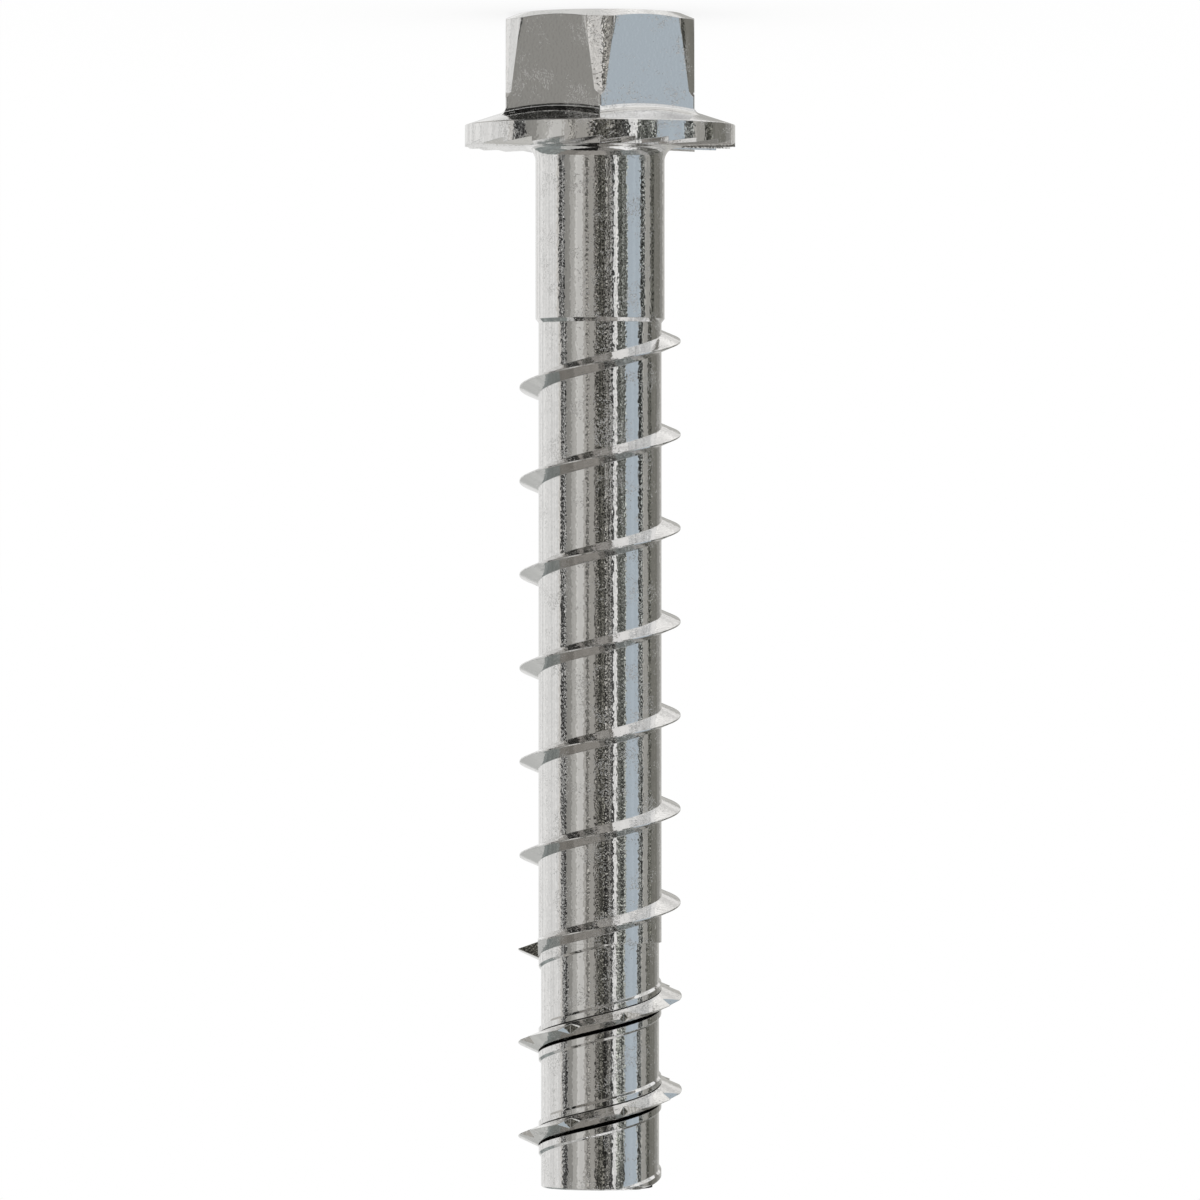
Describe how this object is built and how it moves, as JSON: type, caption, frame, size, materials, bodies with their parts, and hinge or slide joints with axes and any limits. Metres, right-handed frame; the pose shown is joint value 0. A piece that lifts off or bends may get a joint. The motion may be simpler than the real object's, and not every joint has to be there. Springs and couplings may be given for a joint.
{
  "type": "concrete screw",
  "caption": "Hex screw for concrete with a round toothed flange, a plain shank, a coarse right-hand thread and a notched cutting coil brazed in at the tip.",
  "frame": {"origin": "centre of the flat top of the hex head, on which the screw stands", "axes": "+Z along the screw's axis from the head to the tip; +X towards the start of the cutting coil; flats of the hex face +X and -X"},
  "size_m": [0.02, 0.02, 0.0868],
  "materials": {
    "stainless_steel": "bright rolled stainless steel with fine speckles",
    "hardened_steel": "bright hardened steel with fine speckles"
  },
  "bodies": {
    "root": {"screw_body": "stainless_steel", "cutting_coil": "hardened_steel"}
  },
  "joints": []
}
